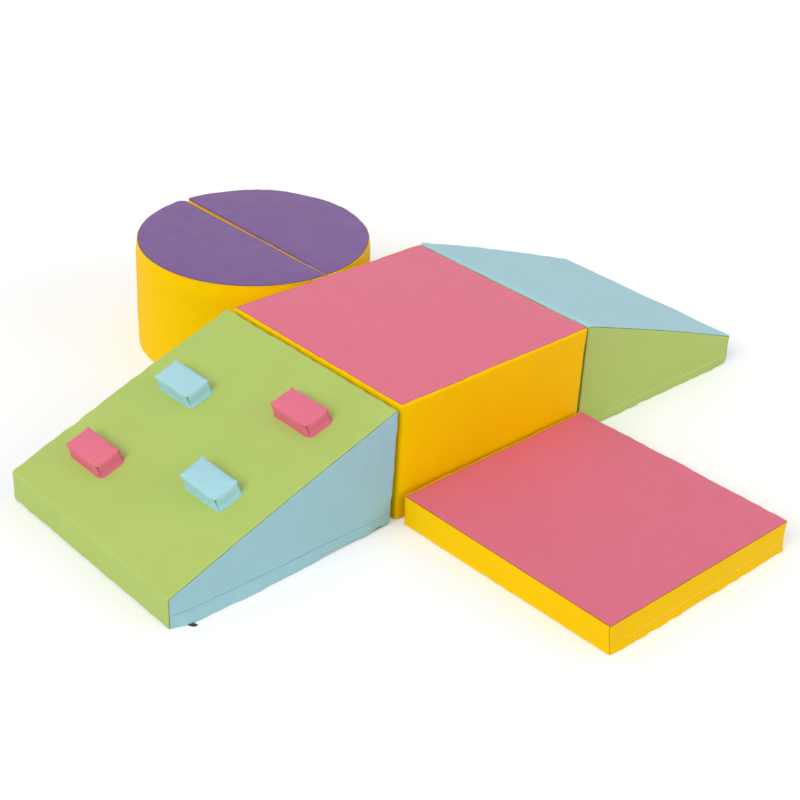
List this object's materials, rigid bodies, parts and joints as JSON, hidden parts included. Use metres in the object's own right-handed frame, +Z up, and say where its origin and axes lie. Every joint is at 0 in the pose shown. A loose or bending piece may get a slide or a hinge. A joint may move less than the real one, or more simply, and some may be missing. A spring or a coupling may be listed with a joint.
{
  "type": "soft play foam climber",
  "caption": "Soft foam play set: a square block with a climbing ramp and holds, a slide, a landing mat and a split round drum, in sewn, zipped leather-like covers.",
  "frame": {"origin": "middle of the block's underside, on the floor", "axes": "+X from the climbing ramp to the slide, -Y towards the landing mat, +Z up"},
  "size_m": [1.8519, 1.8494, 0.308],
  "materials": {
    "pink_cloth": "satin",
    "yellow_cloth": "satin",
    "green_cloth": "satin",
    "blue_cloth": "satin",
    "purple_cloth": "satin",
    "foam": "matte",
    "zip_tape": "matte",
    "zip_metal": "satin"
  },
  "bodies": {
    "block": {"block_core": "foam", "block_top_cover": "pink_cloth", "block_base_cover": "pink_cloth", "block_side_cover": "yellow_cloth", "block_zip_flap": "yellow_cloth", "block_zip_chain": "zip_tape"},
    "block_zip": {"block_zip_slider": "zip_metal", "block_zip_pull": "zip_metal"},
    "ramp": {"ramp_core": "foam", "ramp_top_cover": "green_cloth", "ramp_base_cover": "green_cloth", "ramp_side_cover_near": "blue_cloth", "ramp_side_cover_far": "blue_cloth", "ramp_back_cover": "blue_cloth", "ramp_zip_flap": "blue_cloth", "ramp_zip_chain": "zip_tape", "hold_pink_high_cover": "pink_cloth", "hold_pink_high_foam": "foam", "hold_blue_high_cover": "blue_cloth", "hold_blue_high_foam": "foam", "hold_blue_low_cover": "blue_cloth", "hold_blue_low_foam": "foam", "hold_pink_low_cover": "pink_cloth", "hold_pink_low_foam": "foam"},
    "ramp_zip": {"ramp_zip_slider": "zip_metal", "ramp_zip_pull": "zip_metal"},
    "slide": {"slide_core": "foam", "slide_top_cover": "blue_cloth", "slide_base_cover": "blue_cloth", "slide_side_cover_near": "green_cloth", "slide_side_cover_far": "green_cloth", "slide_back_cover": "green_cloth", "slide_zip_flap": "green_cloth", "slide_zip_chain": "zip_tape"},
    "slide_zip": {"slide_zip_slider": "zip_metal", "slide_zip_pull": "zip_metal"},
    "mat": {"mat_core": "foam", "mat_top_cover": "pink_cloth", "mat_base_cover": "pink_cloth", "mat_side_cover": "yellow_cloth", "mat_zip_flap": "yellow_cloth", "mat_zip_chain": "zip_tape"},
    "mat_zip": {"mat_zip_slider": "zip_metal", "mat_zip_pull": "zip_metal"},
    "half_round_left": {"half_round_left_core": "foam", "half_round_left_top_cover": "purple_cloth", "half_round_left_base_cover": "purple_cloth", "half_round_left_side_cover": "yellow_cloth", "half_round_left_zip_flap": "yellow_cloth", "half_round_left_zip_chain": "zip_tape"},
    "half_round_left_zip": {"half_round_left_zip_slider": "zip_metal", "half_round_left_zip_pull": "zip_metal"},
    "half_round_right": {"half_round_right_core": "foam", "half_round_right_top_cover": "purple_cloth", "half_round_right_base_cover": "purple_cloth", "half_round_right_side_cover": "yellow_cloth", "half_round_right_zip_flap": "yellow_cloth", "half_round_right_zip_chain": "zip_tape"},
    "half_round_right_zip": {"half_round_right_zip_slider": "zip_metal", "half_round_right_zip_pull": "zip_metal"}
  },
  "joints": [
    {"name": "ramp_pull_away", "type": "slide", "parent": "block", "child": "ramp", "axis": [-1, -0.007, 0], "range_m": [0, 0.3]},
    {"name": "slide_pull_away", "type": "slide", "parent": "block", "child": "slide", "axis": [1, 0, 0], "range_m": [0, 0.3]},
    {"name": "mat_pull_away", "type": "slide", "parent": "block", "child": "mat", "axis": [0.0157, -0.9999, 0], "range_m": [0, 0.3]},
    {"name": "half_round_left_pull_away", "type": "slide", "parent": "block", "child": "half_round_left", "axis": [-0.7071, 0.7071, 0], "range_m": [0, 0.3]},
    {"name": "half_round_right_pull_away", "type": "slide", "parent": "block", "child": "half_round_right", "axis": [0.7071, 0.7071, 0], "range_m": [0, 0.3]},
    {"name": "block_zip_travel", "type": "slide", "parent": "block", "child": "block_zip", "axis": [1, 0, 0], "range_m": [0, 0.523]},
    {"name": "ramp_zip_travel", "type": "slide", "parent": "ramp", "child": "ramp_zip", "axis": [1, 0.007, 0], "range_m": [0, 0.544]},
    {"name": "slide_zip_travel", "type": "slide", "parent": "slide", "child": "slide_zip", "axis": [1, 0, 0], "range_m": [0, 0.51]},
    {"name": "mat_zip_travel", "type": "slide", "parent": "mat", "child": "mat_zip", "axis": [0.9999, 0.0157, 0], "range_m": [0, 0.517]},
    {"name": "half_round_left_zip_travel", "type": "slide", "parent": "half_round_left", "child": "half_round_left_zip", "axis": [-0.0192, 0.9998, 0], "range_m": [0, 0.484]},
    {"name": "half_round_right_zip_travel", "type": "slide", "parent": "half_round_right", "child": "half_round_right_zip", "axis": [0, 1, 0], "range_m": [0, 0.515]}
  ]
}
